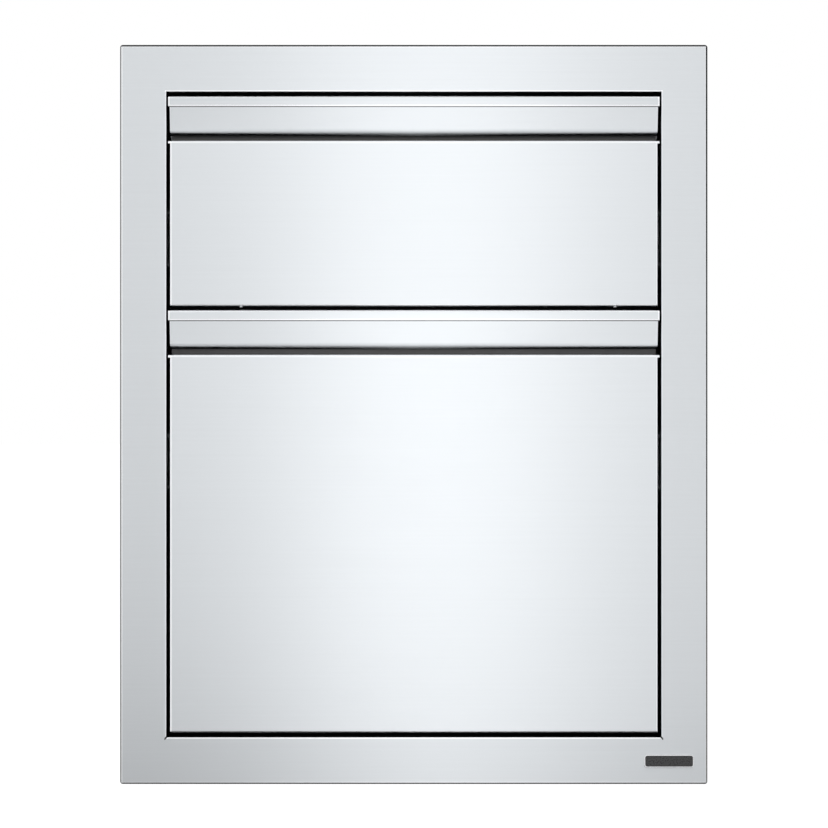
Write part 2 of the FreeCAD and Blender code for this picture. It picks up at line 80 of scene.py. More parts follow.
class Tree:
    """A node tree being written: a finish, a repeated fastener or the studio's world."""

    def __init__(self, nodes_and_links):
        self.tree = nodes_and_links

    def add(self, kind, settings=None, sockets=None, out=0):
        """A node of this kind, with its settings made first and its sockets filled or linked."""
        node = self.tree.nodes.new(kind)
        for name, value in (settings or {}).items():
            setattr(node, name, value)
        for name, value in (sockets or {}).items():
            if isinstance(value, Wire):
                self.tree.links.new(value.socket, node.inputs[name])
            else:
                node.inputs[name].default_value = value
        return Wire(self, node.outputs[out]) if node.outputs else None

    def spot(self):
        """Object coordinates."""
        return self.add("ShaderNodeTexCoord", out="Object")

    def place(self):
        """Object coordinates as three wires."""
        separate = self.add("ShaderNodeSeparateXYZ", None, {0: self.spot()}).socket.node
        return [Wire(self, separate.outputs[i]) for i in range(3)]

    def noise(self, x, y, z, detail=2.0):
        """Noise from 0 to 1 at a place that is already scaled."""
        spot = self.add("ShaderNodeCombineXYZ", None, {0: x, 1: y, 2: z})
        return self.add(
            "ShaderNodeTexNoise", None, {"Vector": spot, "Scale": 1.0, "Detail": detail})

    def grain(self, scale, detail=2.0):
        """Noise with the same scale along all three axes of the Object coordinates."""
        x, y, z = self.place()
        return self.noise(x * scale, y * scale, z * scale, detail)

    def blend(self, share, first, second):
        """The first colour, or wire of colour, giving way to the second colour by a share."""
        start = (*first, 1.0) if isinstance(first, tuple) else first
        return self.add(
            "ShaderNodeMix", {"data_type": "RGBA"}, {0: share, 6: start, 7: (*second, 1.0)}, 2)

    def relief(self, height, strength, distance):
        """The surface's direction, tilted by a height."""
        return self.add(
            "ShaderNodeBump", None, {"Height": height, "Strength": strength, "Distance": distance})


def cleared(owner):
    """The emptied node tree of a material or of the world."""
    owner.use_nodes = True
    owner.node_tree.nodes.clear()
    return Tree(owner.node_tree)


def finish(name):
    """The empty tree of a new material, and the function that closes it with its shader."""
    material = bpy.data.materials.new(name)
    tree = cleared(material)

    def close(sockets):
        shader = tree.add("ShaderNodeBsdfPrincipled", None, sockets)
        tree.add("ShaderNodeOutputMaterial", None, {"Surface": shader})
        return material

    return tree, close


def wear(node_names, material):
    """Gives pieces of the frame their finish."""
    for name in node_names:
        nodes[name].data.materials.clear()
        nodes[name].data.materials.append(material)


def vary(value, *spreads):
    """A value that strays from its middle with each noise, by the spread given for it."""
    for noise, spread in spreads:
        value = value + (noise - 0.5) * spread
    return value


STEEL_TINT = (0.964, 1.0, 1.032)
# Painted highlight: a pale colour, a little glossier, laid on bright edges. Painted shade: a
# near-black colour laid in dark lines, folds, slits and creases.
PAINTED_HIGHLIGHT, PAINTED_HIGHLIGHT_GLOSS = (0.93, 0.94, 0.955), 0.10
PAINTED_SHADE = (0.030, 0.031, 0.033)
HAIR_ALONG, HAIR_ACROSS, HAIR_SHARE = 22.0, 2600.0, 0.45
STREAK_ALONG, STREAK_ACROSS, STREAK_SHARE = 5.0, 420.0, 0.55
DEPTH_SHARE = 0.8


def brushed_steel(name, shift, shade, contrast, roughness, edges):
    """Stainless brushed along x: hair lines, broader faint streaks, a painted highlight along
    edges and painted shade in folds, lines and slits.
    """
    tree, close = finish(name)
    x, y, z = tree.place()
    across = z + y * DEPTH_SHARE + shift
    hair = tree.noise(x * HAIR_ALONG + shift, across * HAIR_ACROSS, 0.0, detail=3.0)
    streak = tree.noise(x * STREAK_ALONG + shift, across * STREAK_ACROSS, 0.0, detail=3.0)
    deep = tuple((1.0 - contrast) * shade * c for c in STEEL_TINT)
    pale = tuple((1.0 + contrast) * shade * c for c in STEEL_TINT)
    brushing = tree.blend(hair * HAIR_SHARE + streak * STREAK_SHARE, deep, pale)
    # The edges give where the painted highlight and the painted shade go on this sheet.
    painted_highlight_and_material, tarnish_and_painted_shade = edges(x, y, z)
    return close({
        "Base Color": tree.blend(tarnish_and_painted_shade, tree.blend(painted_highlight_and_material, brushing, PAINTED_HIGHLIGHT), PAINTED_SHADE),
        "Metallic": 1.0,
        "Roughness": vary(roughness, (hair, 0.10), (streak, 0.06)) - painted_highlight_and_material * PAINTED_HIGHLIGHT_GLOSS,
        "Anisotropic": 0.9,
        "Anisotropic Rotation": 0.25,
        "Normal": tree.relief(hair, strength=0.10, distance=0.00005),
    })


FACE_Y = -0.0120
FLANGE_HALF_W, FLANGE_HALF_H = 0.2475, 0.3115
OPENING_HALF_W, OPENING_HALF_H = 0.2085, 0.2720
FRONT_DEPTH = 0.0012
RIM_W, RIM_H, RIM_REACH = 0.0011, 0.0013, 0.0001
RIM_SHINE, RIM_END_SHINE = 0.25, 0.55
BEND_W, BEND_SHINE = 0.0020, 0.6
DARK_LINE_W, DARK_LINE_FADE = 0.0015, 0.45
GREY_LINE_W, GREY_LINE_H = 0.0010, 0.0014
LINE_SHADE = 0.87
FOLD_LAP, FOLD_DEPTH = 0.0003, 0.0007
SLIT_HALF_W, SLIT_MIDDLE, SLIT_HALF_LENGTH = 0.0010, 0.0005, 0.0011


def frame_edges(x, y, z):
    """Painted highlight on the opening's rim and the outer bends of the frame, and painted shade
    on its outer edge lines, inner folds and slits.
    """
    front = y < FACE_Y + FRONT_DEPTH
    right = abs(x) - OPENING_HALF_W
    below = -OPENING_HALF_H - z
    rim = (right < RIM_W) * (abs(z) < OPENING_HALF_H + RIM_H)
    ends = abs(z) > OPENING_HALF_H - RIM_REACH
    bends = (abs(x) > FLANGE_HALF_W - BEND_W) | (abs(z) > FLANGE_HALF_H - BEND_W)
    # Painted shade: a dark line along the top and right outer edges, strongest at the top and
    # fading down the right side, and a slightly weaker line along the left and bottom edges.
    fading = LINE_SHADE + z * DARK_LINE_FADE
    dark_lines = (x > FLANGE_HALF_W - DARK_LINE_W) * fading | (z > FLANGE_HALF_H - DARK_LINE_W)
    grey_lines = (x < GREY_LINE_W - FLANGE_HALF_W) | (z < GREY_LINE_H - FLANGE_HALF_H)
    # Painted shade on the inner folds round the opening, behind the face, and along the two relief
    # slits.
    beside_opening = (right < FOLD_LAP) * (abs(z) < OPENING_HALF_H + FOLD_LAP)
    inner_folds = beside_opening * (y > FACE_Y + FOLD_DEPTH)
    slits = (abs(right - below) < SLIT_HALF_W) * (abs(right - SLIT_MIDDLE) < SLIT_HALF_LENGTH)
    # Painted highlight on the rim, stronger at its top and bottom than at its sides, and on the
    # outer bends, on the face only.
    painted_highlight_and_material = (rim * (RIM_SHINE + ends * RIM_END_SHINE) | bends * BEND_SHINE) * front
    outer_lines = dark_lines | grey_lines * LINE_SHADE
    return painted_highlight_and_material, outer_lines * front | inner_folds | slits


wear(["face_frame"], brushed_steel(
    "frame_brushed_steel", shift=0.0, shade=0.675, contrast=0.05, roughness=0.40,
    edges=frame_edges))


# Housing: plain stainless sheets with a dull mill finish, folded along their seams. The
# top and bottom lap the sides, and a back with a pressed field closes the rear.
LINES_ALONG, LINES_ACROSS = 4.0, 420.0
ROLLED_ALONG_X = (LINES_ALONG, LINES_ACROSS, LINES_ACROSS)
ROLLED_ALONG_Y = (LINES_ACROSS, LINES_ALONG, LINES_ACROSS)
ROLLED_ALONG_Z = (LINES_ACROSS, LINES_ACROSS, LINES_ALONG)
LINES_SHARE, TONE_DROP = 0.5, 0.2
CLOUD_ACROSS, CLOUD_ALONG, CLOUD_SHARE = 9.0, 5.0, 0.9
FINE_ACROSS, FINE_ALONG = 1500.0, 900.0
MILL_DARK, MILL_PALE = (0.42, 0.43, 0.445), (0.65, 0.66, 0.675)


def mill_steel(name, shift, lines):
    """Cold-rolled sheet as it leaves the mill: cloudy, with faint rolling lines along one axis."""
    tree, close = finish(name)
    x, y, z = tree.place()
    cloud = tree.noise(x * CLOUD_ACROSS + shift, y * CLOUD_ALONG, z * CLOUD_ACROSS, detail=4.0)
    rolled = tree.noise(x * lines[0], y * lines[1] + shift, z * lines[2])
    fine = tree.noise(x * FINE_ACROSS, y * FINE_ALONG, z * FINE_ACROSS)
    tone = cloud * CLOUD_SHARE + rolled * LINES_SHARE - TONE_DROP
    return close({
        "Base Color": tree.blend(tone, MILL_DARK, MILL_PALE),
        "Metallic": 1.0,
        "Roughness": vary(0.42, (cloud, 0.22), (rolled, 0.08)),
        "Normal": tree.relief(fine, strength=0.10, distance=0.00006),
    })


wear(
    ["housing_left_side", "housing_right_side", "housing_top", "housing_bottom"],
    mill_steel("housing_mill_steel", shift=0.0, lines=ROLLED_ALONG_Y))
wear(["housing_back"], mill_steel("back_mill_steel", shift=2.0, lines=ROLLED_ALONG_Z))


# Housing rivets: closed-end blind rivets of stainless steel, pulled from outside through
# the lapped seams, the rear folds and the end tabs of the channel across the front.
def put(name, data):
    """A new object in the scene for a mesh, a lamp or the camera."""
    thing = bpy.data.objects.new(name, data)
    bpy.context.scene.collection.objects.link(thing)
    return thing


def on_points(name, body, places, group, sizes, material):
    """Sets one fastener on each place, given as (position, direction), and rides it on a body."""
    mesh = bpy.data.meshes.new(name + "_places")
    mesh.from_pydata([spot for spot, facing in places], [], [])
    facings = mesh.attributes.new("facing", "FLOAT_VECTOR", "POINT")
    facings.data.foreach_set("vector", [v for spot, facing in places for v in facing])
    carrier = put(name + "_places", mesh)
    modifier = carrier.modifiers.new(name, "NODES")
    modifier.node_group = group
    values = {**sizes, "Material": material}
    for item in group.interface.items_tree:
        if item.in_out == "INPUT" and item.name in values:
            modifier[item.identifier] = values[item.name]
    done = carrier.evaluated_get(bpy.context.evaluated_depsgraph_get())
    piece = put(name, bpy.data.meshes.new_from_object(done))
    piece.data.name = name
    bpy.data.objects.remove(carrier)
    bpy.data.meshes.remove(mesh)
    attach(piece, body)


def mirrored(places):
    """Places given for the right side, on the left side and then on the right."""
    return [
        ((side * x, y, z), (side * facing_x, facing_y, facing_z))
        for side in (-1, 1) for (x, y, z), (facing_x, facing_y, facing_z) in places]


def fastener_tree(name, inputs):
    """An empty fastener tree with its sizes as named inputs, and the wires that bring them in."""
    group = bpy.data.node_groups.new(name, "GeometryNodeTree")
    group.interface.new_socket("Geometry", in_out="INPUT", socket_type="NodeSocketGeometry")
    for label in inputs:
        group.interface.new_socket(label, in_out="INPUT", socket_type="NodeSocketFloat")
    group.interface.new_socket("Material", in_out="INPUT", socket_type="NodeSocketMaterial")
    group.interface.new_socket("Geometry", in_out="OUTPUT", socket_type="NodeSocketGeometry")
    tree = Tree(group)
    first = tree.add("NodeGroupInput")
    wires = {s.name: Wire(tree, s) for s in first.socket.node.outputs if s.name}
    return group, tree, wires


def set_on_places(tree, wires, head, turn_seed):
    """Puts the head on every place, along its direction and turned at random about it."""
    points = tree.add("GeometryNodeMeshToPoints", None, {"Mesh": wires["Geometry"]})
    facing = tree.add(
        "GeometryNodeInputNamedAttribute", {"data_type": "FLOAT_VECTOR"}, {"Name": "facing"})
    stand = tree.add("FunctionNodeAlignRotationToVector", {"axis": "Z"}, {"Vector": facing})
    turn = tree.add(
        "FunctionNodeRandomValue", {"data_type": "FLOAT"},
        {2: 0.0, 3: math.tau, "Seed": turn_seed}, 1)
    spin = tree.add(
        "FunctionNodeAxisAngleToRotation", None, {"Axis": (0.0, 0.0, 1.0), "Angle": turn})
    both = tree.add(
        "FunctionNodeRotateRotation", {"rotation_space": "LOCAL"},
        {"Rotation": stand, "Rotate By": spin})
    many = tree.add(
        "GeometryNodeInstanceOnPoints", None,
        {"Points": points, "Instance": head, "Rotation": both})
    real = tree.add("GeometryNodeRealizeInstances", None, {0: many})
    painted_highlight_and_material = tree.add(
        "GeometryNodeSetMaterial", None, {"Geometry": real, "Material": wires["Material"]})
    tree.add("NodeGroupOutput", None, {0: painted_highlight_and_material})


rivet_group, tree, wires = fastener_tree("dome_rivet", ["Head radius", "Head height"])
ball = tree.add("GeometryNodeMeshUVSphere", None, {"Segments": 18, "Rings": 10, "Radius": 1.0})
size = tree.add(
    "ShaderNodeCombineXYZ", None,
    {0: wires["Head radius"], 1: wires["Head radius"], 2: wires["Head height"]})
dome = tree.add("GeometryNodeTransform", None, {"Geometry": ball, "Scale": size})
smooth = tree.add("GeometryNodeSetShadeSmooth", None, {"Geometry": dome})
set_on_places(tree, wires, smooth, turn_seed=7)
TARNISHED = 0.72


def turned_steel(name, colour, roughness):
    """Small steel hardware, drawn or turned, with fine marks and a little tarnish."""
    tree, close = finish(name)
    marks = tree.grain(scale=3000.0)
    tarnish = tree.grain(scale=160.0, detail=3.0)
    tarnish_and_painted_shade = tuple(c * TARNISHED for c in colour)
    return close({
        "Base Color": tree.blend(tarnish, tarnish_and_painted_shade, colour),
        "Metallic": 1.0,
        "Roughness": vary(roughness, (tarnish, 0.14)),
        "Normal": tree.relief(marks, strength=0.06, distance=0.00003),
    })


RIVET_HEAD = {"Head radius": 0.0026, "Head height": 0.0009}
LAP_X, LAP_Z = 0.2121, 0.2655
LAP_START, LAP_PITCH, LAP_RIVETS = 0.035, 0.090, 6
REAR_X, REAR_Y = 0.2030, 0.5200
REAR_START, REAR_PITCH, REAR_RIVETS = -0.24, 0.12, 5
TAB_X, TAB_Y, TAB_HEIGHTS = 0.2109, 0.0310, (0.0785, 0.0935)
rivet_steel = turned_steel("rivet_steel", (0.66, 0.67, 0.685), roughness=0.34)
seams = [
    ((LAP_X, LAP_START + LAP_PITCH * i, level * LAP_Z), (1, 0, 0))
    for level in (-1, 1) for i in range(LAP_RIVETS)]
seams += [((REAR_X, REAR_Y, REAR_START + REAR_PITCH * i), (0, 1, 0)) for i in range(REAR_RIVETS)]
seams += [((TAB_X, TAB_Y, z), (1, 0, 0)) for z in TAB_HEIGHTS]
on_points(
    "housing_rivets", "housing", mirrored(seams), rivet_group, RIVET_HEAD, rivet_steel)


# Drawer fronts: each face is a brushed sheet with folded sides and foot, whose top edge
# turns over into a hemmed lip. Above the lip a second brushed sheet forms the strip and
# the pull, which leans back to a rolled edge that leaves a slot for the fingers.
FACE_HALF_W, STRIP_HALF_W = 0.2057, 0.2070
LIP_BELOW_TOP, CREASE_BELOW_TOP = 0.0377, 0.0091
FACE_SIDE_W, FACE_LIP_H, FACE_FOOT_H = 0.0014, 0.0021, 0.0011
RIGHT_SHINE, LIP_SHINE, FOOT_SHINE = 0.4, 0.4, 0.7
STRIP_END_W, STRIP_TOP_H, STRIP_FOOT_H, STRIP_SHINE = 0.0012, 0.0010, 0.0015, 0.8
CREASE_SHADE_BELOW, CREASE_SHADE_ABOVE, CREASE_SHADE_DEPTH, CREASE_SHADE_SHARE = 0.0004, 0.0006, 0.0030, 0.75
PULL_END_W, PULL_END_SHINE = 0.0009, 0.2
PULL_SHIFT = 2.2
FRONTS = {
    "upper": {
        "top": 0.2685, "foot": 0.0917, "shift": 3.1, "face_shade": 0.705, "pull_shade": 0.645},
    "lower": {
        "top": 0.0881, "foot": -0.2679, "shift": 8.7, "face_shade": 0.727, "pull_shade": 0.705},
}


def panel_edges(lip, foot):
    """Painted highlight on the lip, sides and foot of a face sheet, stronger on the left than on
    the right; a face sheet has no painted shade.
    """
    def edges(x, y, z):
        left, right = x < FACE_SIDE_W - FACE_HALF_W, x > FACE_HALF_W - FACE_SIDE_W
        # Painted highlight: the left side fully, the right side, lip and foot in part.
        head, sole = z > lip - FACE_LIP_H, z < foot + FACE_FOOT_H
        return left | right * RIGHT_SHINE | head * LIP_SHINE | sole * FOOT_SHINE, 0.0
    return edges


def pull_edges(top):
    """Painted highlight on the edges of the strip and the ends of the pull, and a painted shade
    line along the crease below the strip.
    """
    crease = top - CREASE_BELOW_TOP

    def edges(x, y, z):
        strip_ends = abs(x) > STRIP_HALF_W - STRIP_END_W
        rim = strip_ends | (z > top - STRIP_TOP_H) | (z < crease + STRIP_FOOT_H)
        # Painted shade: a dark line along the crease under the strip, on the front skin only.
        line = (z > crease - CREASE_SHADE_BELOW) * (z < crease + CREASE_SHADE_ABOVE)
        crease_shade = line * (y < FACE_Y + CREASE_SHADE_DEPTH)
        pull_ends = (z < crease) * (abs(x) > FACE_HALF_W - PULL_END_W)
        # Painted highlight on the strip's edges and, more weakly, on the pull's ends.
        painted_highlight_and_material = (z > crease) * rim * STRIP_SHINE | pull_ends * PULL_END_SHINE
        return painted_highlight_and_material, crease_shade * CREASE_SHADE_SHARE
    return edges


for level, front in FRONTS.items():
    wear([level + "_front_panel"], brushed_steel(
        level + "_front_brushed_steel", front["shift"], front["face_shade"], contrast=0.04,
        roughness=0.40, edges=panel_edges(front["top"] - LIP_BELOW_TOP, front["foot"])))
    wear([level + "_pull"], brushed_steel(
        level + "_pull_brushed_steel", front["shift"] + PULL_SHIFT, front["pull_shade"],
        contrast=0.04, roughness=0.37, edges=pull_edges(front["top"])))


# Liners and cross channel: the inner sheet of each front, folded forward inside the face,
# and the channel across the housing behind the gap between the fronts. Both are coloured
# near black as painted shade, the liners satin and the channel matt, so slot and gap look black
# from in front.
LINER_SHADE_DARK, LINER_SHADE_PALE = (0.030, 0.031, 0.033), (0.046, 0.047, 0.050)
# Painted shade: the liners are coloured near black so the slot behind each pull reads dark.
tree, close = finish("satin_painted_shade")
peel = tree.grain(scale=700.0)
cloud = tree.grain(scale=14.0, detail=3.0)
wear(["upper_front_liner", "lower_front_liner"], close({
    "Base Color": tree.blend(cloud, LINER_SHADE_DARK, LINER_SHADE_PALE),
    "Roughness": vary(0.32, (cloud, 0.12), (peel, 0.10)),
    "Specular IOR Level": 1.0,
    "Normal": tree.relief(peel, strength=0.12, distance=0.00012),
}))


def grained(name, scale, detail, dark, pale, roughness, spread, strength, distance, more=None):
    """A coat or moulding with one grain, which mottles its colour, its gloss and its surface."""
    tree, close = finish(name)
    grain = tree.grain(scale, detail)
    return close({
        "Base Color": tree.blend(grain, dark, pale),
        "Roughness": vary(roughness, (grain, spread)),
        "Normal": tree.relief(grain, strength, distance),
        **(more or {}),
    })


# Painted shade: the channel is coloured near black, so the gap between the fronts reads black.
wear(["divider_rail"], grained(
    "matt_painted_shade", scale=500.0, detail=2.0,
    dark=(0.004, 0.004, 0.004), pale=(0.009, 0.009, 0.010), roughness=0.85, spread=0.10,
    strength=0.15, distance=0.00010, more={"Specular IOR Level": 0.15}))


# Ball slides: rolled channels of zinc-plated steel, one fixed to the housing, one that
# travels half as far as the drawer and one on the drawer. The plating is bright and a
# little blue, rubbed to plain steel along the grooves.
ZINC_DARK, ZINC_PALE = (0.50, 0.52, 0.555), (0.66, 0.675, 0.695)
DRAWN_ACROSS, DRAWN_ALONG, DRAWN_SHARE = 900.0, 7.0, 0.5
RUBBED_ACROSS, RUBBED_ALONG = 60.0, 3.0
SPANGLE_SHARE = 0.5
tree, close = finish("zinc_plate")
x, y, z = tree.place()
spangle = tree.add(
    "ShaderNodeTexVoronoi", None,
    {"Vector": tree.spot(), "Scale": 520.0, "Randomness": 1.0}, "Color")
grey = tree.add("ShaderNodeRGBToBW", None, {0: spangle})
drawn = tree.noise(x * DRAWN_ACROSS, y * DRAWN_ALONG, z * DRAWN_ACROSS)
rubbed = tree.noise(x * RUBBED_ACROSS, y * RUBBED_ALONG, z * RUBBED_ACROSS, detail=3.0)
tone = grey * SPANGLE_SHARE + drawn * DRAWN_SHARE
wear([n for n in nodes if "_slide_" in n], close({
    "Base Color": tree.blend(tone, ZINC_DARK, ZINC_PALE),
    "Metallic": 1.0,
    "Roughness": vary(0.27, (rubbed, 0.20), (drawn, 0.08)),
    "Normal": tree.relief(drawn, strength=0.10, distance=0.00006),
}))


# Ball cages: stamped strips of darker steel with a square pocket in one edge for each
# ball, one pair in each gap between the slide members.
wear(
    [n for n in nodes if n.endswith("_cage")],
    turned_steel("cage_strip", (0.42, 0.43, 0.44), roughness=0.40))


# Slide balls: hardened steel balls, ground and polished, held in the pockets of the cages
# and rolling in the grooves of the channels above and below.
ball_group, tree, wires = fastener_tree("slide_ball", ["Ball radius"])
globe = tree.add(
    "GeometryNodeMeshIcoSphere", None, {"Radius": wires["Ball radius"], "Subdivisions": 3})
smooth = tree.add("GeometryNodeSetShadeSmooth", None, {"Geometry": globe})
set_on_places(tree, wires, smooth, turn_seed=3)
ball_steel = turned_steel("ball_steel", (0.74, 0.745, 0.75), roughness=0.12)
WALL_X = 0.2097
CAGE_START, CAGE_LENGTH, CAGE_POCKETS = 0.160, 0.200, 4
SLIDE_Z = {"upper": 0.150, "lower": -0.040}
BALL_ROWS = {
    "outer": {"inward": 0.0070, "up": 0.01935, "radius": 0.0020},
    "inner": {"inward": 0.0086, "up": 0.01493, "radius": 0.0013},
}
pocket_middles = [CAGE_START + CAGE_LENGTH / CAGE_POCKETS * (i + 0.5) for i in range(CAGE_POCKETS)]
for level, middle in SLIDE_Z.items():
    for row, ball in BALL_ROWS.items():
        pockets = [
            ((WALL_X - ball["inward"], y, middle + end * ball["up"]), (0, 0, end))
            for y in pocket_middles for end in (-1, 1)]
        on_points(
            level + "_" + row + "_balls", level + "_" + row + "_cages", mirrored(pockets),
            ball_group, {"Ball radius": ball["radius"]}, ball_steel)


# Slide screws: low pan heads with a recess, driven from inside through the fixed channels
# into the housing, where the travelling channels clear them.
screw_group, tree, wires = fastener_tree("pan_screw", ["Head radius", "Head height"])
shank = tree.add(
    "GeometryNodeMeshCylinder", {"fill_type": "NGON"},
    {"Vertices": 24, "Radius": wires["Head radius"], "Depth": wires["Head height"]})
crown = Wire(tree, shank.socket.node.outputs["Top"])
CROWN, TOP_FACE, RECESS = (0.35, 0.80), (0.10, 0.62), (-0.62, 0.86)
for raise_by, shrink in (CROWN, TOP_FACE, RECESS):
    drawn = tree.add(
        "GeometryNodeExtrudeMesh", {"mode": "FACES"},
        {"Mesh": shank, "Selection": crown, "Offset Scale": wires["Head height"] * raise_by,
         "Individual": False})
    crown = Wire(tree, drawn.socket.node.outputs["Top"])
    shank = tree.add(
        "GeometryNodeScaleElements", {"domain": "FACE"},
        {"Geometry": drawn, "Selection": crown, "Scale": shrink})
set_on_places(tree, wires, shank, turn_seed=11)
screw_steel = turned_steel("screw_steel", (0.68, 0.69, 0.70), roughness=0.28)
LOW_HEAD = {"Head radius": 0.0032, "Head height": 0.0010}
CHANNEL_FLOOR = 0.0013
CHANNEL_START, CHANNEL_PITCH, CHANNEL_SCREWS = 0.034, 0.096, 5
channel_screws = [
    ((WALL_X - CHANNEL_FLOOR, CHANNEL_START + CHANNEL_PITCH * i, middle), (-1, 0, 0))
    for middle in SLIDE_Z.values() for i in range(CHANNEL_SCREWS)]
on_points(
    "slide_screws", "housing", mirrored(channel_screws), screw_group, LOW_HEAD, screw_steel)


# Towel drawer: folded mill-finish sheets. The bottom with its two pressed ribs lies on
# folds of the sides, the sides and back have hemmed top edges, and cranked brackets on
# the sides hold the towel rod in open notches.
wear(
    ["tray_left_side", "tray_right_side", "tray_bottom"],
    mill_steel("tray_mill_steel", shift=4.0, lines=ROLLED_ALONG_Y))
wear(["tray_back"], mill_steel("tray_back_mill_steel", shift=5.0, lines=ROLLED_ALONG_X))
wear(
    ["left_rod_bracket", "right_rod_bracket"],
    mill_steel("bracket_mill_steel", shift=7.0, lines=ROLLED_ALONG_Z))


# Towel drawer rivets and screws: rivets hold the slide members, brackets and bottom, and
# pan screws hold the front to the folds of the sides. Two screws come up through the
# lower fold of the front, where they glint in the gap below it.
SIDE_X, SHEET = 0.1970, 0.0012
SLIDE_RIVET_YS = (0.050, 0.190, 0.310, 0.450)
BRACKET_X, BRACKET_YS, BRACKET_Z = 0.1943, (0.109, 0.131), 0.1965
BOTTOM_X, BOTTOM_YS, BOTTOM_Z = 0.1885, (0.045, 0.180, 0.315, 0.450), 0.1064
FRONT_SCREW_X, FRONT_SCREW_Y = 0.1875, 0.0117
TOWEL_SCREW_ZS = (0.124, 0.163, 0.202)
FRONT_HEAD = {"Head radius": 0.0029, "Head height": 0.0010}
FOLD_SCREW_XS, FOLD_SCREW_Y, FOLD_SCREW_Z = (-0.1463, 0.1704), -0.0010, 0.0913
FOLD_HEAD = {"Head radius": 0.0017, "Head height": 0.0008}


def slide_rivets(level):
    """Rivets through the right side of a drawer into its slide member, with heads inside."""
    return [((SIDE_X - SHEET, y, SLIDE_Z[level]), (-1, 0, 0)) for y in SLIDE_RIVET_YS]


def front_screws(heights):
    """Screws from inside a drawer through its right fold into the front."""
    return [((FRONT_SCREW_X, FRONT_SCREW_Y, z), (0, 1, 0)) for z in heights]


tray_rivets = slide_rivets("upper")
tray_rivets += [((BRACKET_X, y, BRACKET_Z), (-1, 0, 0)) for y in BRACKET_YS]
tray_rivets += [((BOTTOM_X, y, BOTTOM_Z), (0, 0, 1)) for y in BOTTOM_YS]
on_points(
    "towel_drawer_rivets", "upper_drawer", mirrored(tray_rivets), rivet_group, RIVET_HEAD,
    rivet_steel)
on_points(
    "towel_drawer_screws", "upper_drawer", mirrored(front_screws(TOWEL_SCREW_ZS)), screw_group,
    FRONT_HEAD, screw_steel)
fold_screws = [((x, FOLD_SCREW_Y, FOLD_SCREW_Z), (0, 0, -1)) for x in FOLD_SCREW_XS]
on_points(
    "front_fold_screws", "upper_drawer", fold_screws, screw_group, FOLD_HEAD, screw_steel)


# Towel rod: a turned and polished rod with a neck at each end that drops into its notch
# and a tapered button outside it, so that it turns with the roll.
ROD_DARK, ROD_PALE = (0.66, 0.67, 0.68), (0.78, 0.785, 0.79)
TURNED_ALONG = 2200.0
HAND_ALONG, HAND_ROUND = 26.0, 60.0
tree, close = finish("polished_rod")
x, y, z = tree.place()
turned = tree.noise(x * TURNED_ALONG, 0.0, 0.0, detail=3.0)
hand = tree.noise(x * HAND_ALONG, y * HAND_ROUND, z * HAND_ROUND, detail=3.0)
wear(["towel_rod"], close({
    "Base Color": tree.blend(hand, ROD_DARK, ROD_PALE),
    "Metallic": 1.0,
    "Roughness": vary(0.13, (turned, 0.08), (hand, 0.10)),
    "Normal": tree.relief(turned, strength=0.08, distance=0.00003),
}))


# Waste drawer: two folded sides, a back and a deck with a collared hole, all mill-finish
# sheet, riveted where the deck lies on the folds of the sides. Rivets and pan screws join
# it to its slide members and its front, as on the towel drawer.
DECK_X, DECK_YS, DECK_Z = 0.1905, (0.040, 0.180, 0.320, 0.460), 0.0392
WASTE_SCREW_ZS = (-0.130, -0.056, 0.018)
wear(
    ["carriage_left_side", "carriage_right_side", "bin_ring"],
    mill_steel("carriage_mill_steel", shift=9.0, lines=ROLLED_ALONG_Y))
wear(["carriage_back"], mill_steel("carriage_back_mill_steel", shift=11.0, lines=ROLLED_ALONG_X))
carriage_rivets = slide_rivets("lower")
carriage_rivets += [((DECK_X, y, DECK_Z), (0, 0, 1)) for y in DECK_YS]
on_points(
    "waste_drawer_rivets", "lower_drawer", mirrored(carriage_rivets), rivet_group, RIVET_HEAD,
    rivet_steel)
on_points(
    "waste_drawer_screws", "lower_drawer", mirrored(front_screws(WASTE_SCREW_ZS)), screw_group,
    FRONT_HEAD, screw_steel)


# Waste bin: an injection-moulded bin of charcoal polypropylene with a fine spark-eroded
# grain, a turned-down rim that hangs on the deck, and scuffs where bags are pulled out.
BIN_DARK, BIN_PALE = (0.040, 0.041, 0.043), (0.075, 0.076, 0.079)
FLOW_ACROSS, FLOW_DOWN, FLOW_SHARE = 6.0, 3.0, 0.6
SCUFF_ACROSS, SCUFF_DOWN, SCUFF_SHARE = 40.0, 5.0, 0.4
tree, close = finish("moulded_bin_plastic")
x, y, z = tree.place()
pebble = tree.add(
    "ShaderNodeTexVoronoi", {"feature": "SMOOTH_F1"},
    {"Vector": tree.spot(), "Scale": 900.0}, "Distance")
flow = tree.noise(x * FLOW_ACROSS, y * FLOW_ACROSS, z * FLOW_DOWN, detail=3.0)
scuff = tree.noise(x * SCUFF_ACROSS, y * SCUFF_ACROSS, z * SCUFF_DOWN, detail=4.0)
wear(["waste_bin"], close({
    "Base Color": tree.blend(flow * FLOW_SHARE + scuff * SCUFF_SHARE, BIN_DARK, BIN_PALE),
    "Roughness": vary(0.50, (scuff, 0.22)),
    "Normal": tree.relief(pebble, strength=0.35, distance=0.00020),
}))


# Bumpers: small buttons of black rubber, pressed into the liners, that meet the channel
# across the housing when a drawer is pushed home.
wear(["upper_bumpers", "lower_bumpers"], grained(
    "bumper_rubber", scale=350.0, detail=3.0,
    dark=(0.014, 0.014, 0.014), pale=(0.032, 0.032, 0.033), roughness=0.72, spread=0.20,
    strength=0.20, distance=0.00010))


